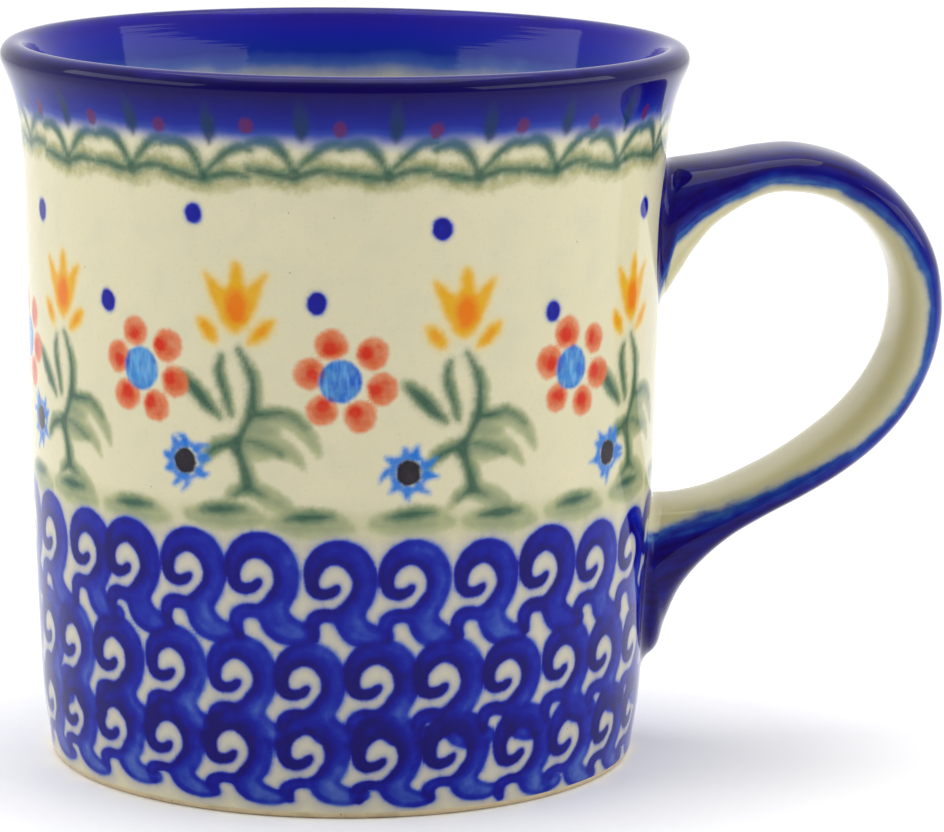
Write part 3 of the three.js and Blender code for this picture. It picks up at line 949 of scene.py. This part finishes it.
SECTION_POWER = 2.5         # of the rounded oblong that the strap's section is
WALL_CURVE = WIDEST - 4.0
SECTION_POINTS = 84
STEPS_PER_PAIR = 14 if FINE else 6
BURIED = (0.45, 23.5)       # pair numbers where the strap ends, inside the wall
FILLET = 1.5                # reach of the slip that fills the corner between strap and wall

# How far through the strap's thickness the cobalt is brushed, by pair number.
BRUSHED = [(0, 1.1), (0.9, 1.0), (1.4, 0.82), (1.9, 0.62), (3, 0.62), (5, 0.68), (7, 0.74), (8, 0.7),
           (9.5, 0.6), (11, 0.47), (13, 0.42), (15, 0.5), (16.5, 0.68), (18, 0.8), (20, 0.85), (22, 0.83),
           (24, 0.83)]
POOL_SHADE_AT, POOL_SHADE_WIDTH = -0.36, 1.8    # where glaze pools and shade is painted along the finger side, as a share of the strap's width, and how widely


def strap_surface():
    """The strap's points by station, the pair number of each station, the brushed glaze, and the band of
    pooled glaze and painted shade.
    """
    pairs = spline([(*outer, *inner) for outer, inner in STRAP], STEPS_PER_PAIR)
    number = np.arange(len(pairs)) / STEPS_PER_PAIR
    keep = (number >= BURIED[0]) & (number <= BURIED[1])
    pairs, number = pairs[keep], number[keep]
    outer, inner = pairs[:, :2], pairs[:, 2:]
    half = np.linalg.norm(outer - inner, axis=1) / 2
    across = (outer - inner) / (2 * half[:, None])
    from_end = np.minimum(number, len(STRAP) - 1 - number)
    width = ROOT_WIDTH + (STRAP_WIDTH - ROOT_WIDTH) * eased(from_end / ROOT_REACH)
    turn = np.linspace(0, 2 * math.pi, SECTION_POINTS, endpoint=False)
    flat = np.sign(np.cos(turn)) * np.abs(np.cos(turn)) ** (2 / SECTION_POWER)
    deep = np.sign(np.sin(turn)) * np.abs(np.sin(turn)) ** (2 / SECTION_POWER)
    y = width[:, None] / 2 * flat
    middle = (outer + inner) / 2
    place = middle[:, None, :] + (half[:, None] * deep)[..., None] * across[:, None, :]
    sag = WALL_CURVE - np.sqrt(WALL_CURVE**2 - y**2)         # the roots bend round the wall
    place[..., 0] -= sag * (1 - eased((from_end[:, None] - 1.0) / (ROOT_REACH - 1.0)))
    points = np.stack([AXIS_X + place[..., 0], y, place[..., 1]], 2)
    through = (1 - deep) / 2
    limit = np.interp(number, *zip(*BRUSHED))
    brushed = (through - limit[:, None]) * 2 * half[:, None]
    # a band along the finger side: glaze pooled there, darkened further as painted shade
    pool_and_shade = np.exp(-((y - POOL_SHADE_AT * width[:, None]) / POOL_SHADE_WIDTH) ** 2) * (deep < 0)
    return points, number, brushed, pool_and_shade


def swept(name, rings, looped, place):
    """A solid through rings of points, looped or capped. place gives a corner its spot in the atlas."""
    rows, columns = rings.shape[:2]
    points = rings.reshape(-1, 3)
    r, c = (v.ravel() for v in np.mgrid[:rows if looped else rows - 1, :columns])
    around = [(r, c), (r, c + 1), (r + 1, c + 1), (r + 1, c)]
    quads = np.stack([i % rows * columns + j % columns for i, j in around], 1)
    uv = np.stack([place(r, i, j) for i, j in around], 1)
    caps = [] if looped else [np.arange(columns)[::-1], len(points) - columns + np.arange(columns)]
    a, b, c, d = (points[quads[:, k]] for k in range(4))
    volume = np.einsum("ij,ij->", a, np.cross(b, c)) + np.einsum("ij,ij->", a, np.cross(c, d))
    if volume < 0:         # the faces face inwards, so they are turned over
        quads, uv = quads[:, ::-1], uv[:, ::-1]
        caps = [cap[::-1] for cap in caps]
    corners = np.concatenate([quads.ravel(), *caps])
    sizes = np.concatenate([np.full(len(quads), 4), np.full(len(caps), columns)])
    uvs = np.vstack([uv.reshape(-1, 2), np.full((len(caps) * columns, 2), 0.998)])
    return mesh_object(name, points, corners, sizes, uvs, [handle_material])


def handle_strap():
    """The strap, whose ends lie inside the wall."""
    points, number, brushed, pool_and_shade = strap_surface()
    rows, columns = points.shape[:2]

    def place(first, r, c):
        strip = (first >= rows // 2).astype(float)           # the strap is cut in two strips
        along = 0.005 + 0.98 * (r - strip * (rows // 2)) / (rows / 2)
        return np.stack([along, 0.5 * strip + 0.005 + 0.485 * c / columns], 1)

    piece = swept("handle_strap", points, False, place)
    keep_vectors(piece, brush=[brushed.ravel(), np.repeat(number, columns), pool_and_shade.ravel()])
    return piece


def unit(v):
    return v / np.linalg.norm(v, axis=1, keepdims=True)


def facing(v, other):
    """Unit vectors along v, or against it where that leans towards the other."""
    return unit(v) * np.sign(np.einsum("ij,ij->i", v, other))[:, None]


def onto_wall(p, sunk):
    """Points moved straight in or out to the wall, and sunk into it."""
    x, y = p[:, 0] - AXIS_X, p[:, 1]
    scale = (wall_radius(p[:, 2]) - sunk) / np.hypot(x, y)
    return np.stack([AXIS_X + x * scale, y * scale, p[:, 2]], 1)


FILLET_POINTS = 9        # across the hollow face of the slip


def slip_fillet(name, upper):
    """The ring of slip and glaze that fills the corner between the strap and the wall, where the glaze
    pools.
    """
    points, _, brushed, _ = strap_surface()
    if not upper:
        points, brushed = points[::-1], brushed[::-1]
    reach = points[:len(points) // 3]
    rho = np.hypot(reach[..., 0] - AXIS_X, reach[..., 1]) - wall_radius(reach[..., 2])
    columns = points.shape[1]
    steps = np.linalg.norm(np.diff(reach, axis=0), axis=2)
    length = np.vstack([np.zeros(columns), np.cumsum(steps, axis=0)])
    known = np.dstack([reach, brushed[:len(reach)]])
    found = np.zeros((2, columns, 4))        # place and brushed distance, at the wall and FILLET beyond it
    for c in range(columns):
        i = int(np.argmax(rho[:, c] > 0))
        at = np.interp(0, rho[i - 1:i + 1, c], length[i - 1:i + 1, c])
        for k in range(4):
            found[:, c, k] = np.interp([at, at + FILLET], length[:, c], known[:, c, k])
    corner, on_strap = found[..., :3]
    round_ring = np.roll(corner, -1, axis=0) - np.roll(corner, 1, axis=0)
    wall_out = unit((corner - (AXIS_X, 0, 0)) * (1, 1, 0))
    away = facing(np.cross(round_ring, wall_out), corner - corner.mean(0))
    strap_out = facing(np.cross(round_ring, on_strap - corner), away)
    on_wall = onto_wall(corner + FILLET * away, 0.0)
    share = np.linspace(0, 1, FILLET_POINTS)
    face = [(1 - t) ** 2 * on_wall + 2 * t * (1 - t) * corner + t**2 * on_strap for t in share]
    hidden = [on_strap - 0.3 * strap_out, corner - 0.5 * strap_out - 0.5 * wall_out,
              onto_wall(corner + FILLET * away, 0.3)]
    ring = np.stack(face + hidden, 1)
    part = ring.shape[1]
    piece = swept(name, ring, True,
                  lambda _, r, c: np.stack([0.01 + 0.98 * r / columns, 0.01 + 0.98 * c / part], 1))
    share = np.r_[share, 1, 0.5, 0]
    edge = found[0, :, 3:] * (1 - share) + found[1, :, 3:] * share
    keep_vectors(piece, brush=[edge.ravel(), np.zeros(edge.size), np.zeros(edge.size)])
    return piece


strap = handle_strap()
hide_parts("handle")
for name, node in (("upper_slip", "upper_slip_joint"), ("lower_slip", "lower_slip_joint")):
    bead = slip_fillet(name, name == "upper_slip")
    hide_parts(node)

# ---- floor, lights and camera

CAMERA_TURN = FRONT + 90                 # the camera stands this far round the axis, in degrees
CAMERA_PLACE = (0.0, -550.0, 145.7)      # from the middle of the foot, before that turn
CAMERA_PITCH, CAMERA_YAW, CAMERA_ROLL = 10.724, 1.653, 0.643
FIELD_WIDTH = 944 / 4531                 # width of the view at unit distance
SENSOR = 36.0
SIDE_LIGHT, FRONT_LIGHT = 0.97, 0.2      # the studio's brightness round the mug, and at the camera's side
DIM_FROM, DIM_TO = 0.1, 0.95             # cosines of the angles from that side between which it changes
SOFTBOX_AIM = 45.0
# Each softbox: azimuth from the camera to the right, elevation, distance, width, height and watts.
SOFTBOXES = {
    "left_softbox": (-78, 24, 900, 900, 300, 2.4),
    "right_softbox": (72, 24, 900, 900, 300, 2.5),
    "top_softbox": (180, 80, 1100, 900, 900, 5.6),
}


def around_axis(x, y, z, degrees):
    """A place given about the body's axis, turned round it and moved into the mug's frame, in metres."""
    place = Matrix.Rotation(math.radians(degrees), 3, "Z") @ Vector((x, y, z))
    return (place + Vector((AXIS_X, 0, 0))) * MM


def place_camera():
    """The camera at the photo's viewing angle."""
    data = bpy.data.cameras.new("camera")
    data.sensor_width = SENSOR
    data.lens = SENSOR / FIELD_WIDTH
    data.clip_start = 0.05
    data.clip_end = 50.0
    camera = bpy.data.objects.new("camera", data)
    place = Matrix.Translation(around_axis(*CAMERA_PLACE, CAMERA_TURN))
    for degrees, axis in ((CAMERA_TURN - CAMERA_YAW, "Z"), (90 - CAMERA_PITCH, "X"), (CAMERA_ROLL, "Z")):
        place = place @ Matrix.Rotation(math.radians(degrees), 4, axis)
    camera.matrix_world = place
    bpy.context.scene.collection.objects.link(camera)
    bpy.context.scene.camera = camera


def softbox(name, azimuth, elevation, distance, width, height, power):
    """An area lamp that faces the middle of the body."""
    data = bpy.data.lights.new(name, "AREA")
    data.shape = "RECTANGLE"
    data.size, data.size_y = width * MM, height * MM
    data.energy = power
    lamp = bpy.data.objects.new(name, data)
    a, e = math.radians(azimuth), math.radians(elevation)
    place = around_axis(distance * math.sin(a) * math.cos(e), -distance * math.cos(a) * math.cos(e),
                        SOFTBOX_AIM + distance * math.sin(e), CAMERA_TURN)
    lamp.location = place
    target = around_axis(0, 0, SOFTBOX_AIM, 0)
    lamp.rotation_euler = (target - place).to_track_quat("-Z", "Y").to_euler()
    bpy.context.scene.collection.objects.link(lamp)


def pale_floor():
    """A pale floor, 8 m square."""
    mesh = bpy.data.meshes.new("floor")
    reach = 4.0
    mesh.from_pydata([(-reach, -reach, 0), (reach, -reach, 0), (reach, reach, 0), (-reach, reach, 0)], [],
                     [(0, 1, 2, 3)])
    nodes = Surface("floor")
    nodes.put(nodes.shader.inputs["Specular IOR Level"], 0.2)
    mesh.materials.append(nodes.finish((0.97, 0.97, 0.97, 1), 0.6))
    floor = bpy.data.objects.new("floor", mesh)
    bpy.context.scene.collection.objects.link(floor)


def surroundings():
    """A pale studio, dimmer on the camera's side than at the sides and behind."""
    world = bpy.data.worlds.new("studio")
    bpy.context.scene.world = world
    nodes = Nodes(world)
    front = math.radians(FRONT)
    towards = nodes.node("ShaderNodeVectorMath", nodes.node("ShaderNodeTexCoord").outputs["Generated"],
                         (math.cos(front), math.sin(front), 0), operation="DOT_PRODUCT").outputs["Value"]
    shade = nodes.tree.nodes["Background"].inputs
    nodes.put(shade["Color"], (1, 1, 1, 1))
    nodes.put(shade["Strength"], nodes.fade(towards, DIM_FROM, DIM_TO, SIDE_LIGHT, FRONT_LIGHT))


place_camera()
pale_floor()
surroundings()
for name, settings in SOFTBOXES.items():
    softbox(name, *settings)
bpy.context.scene.view_settings.view_transform = "Standard"
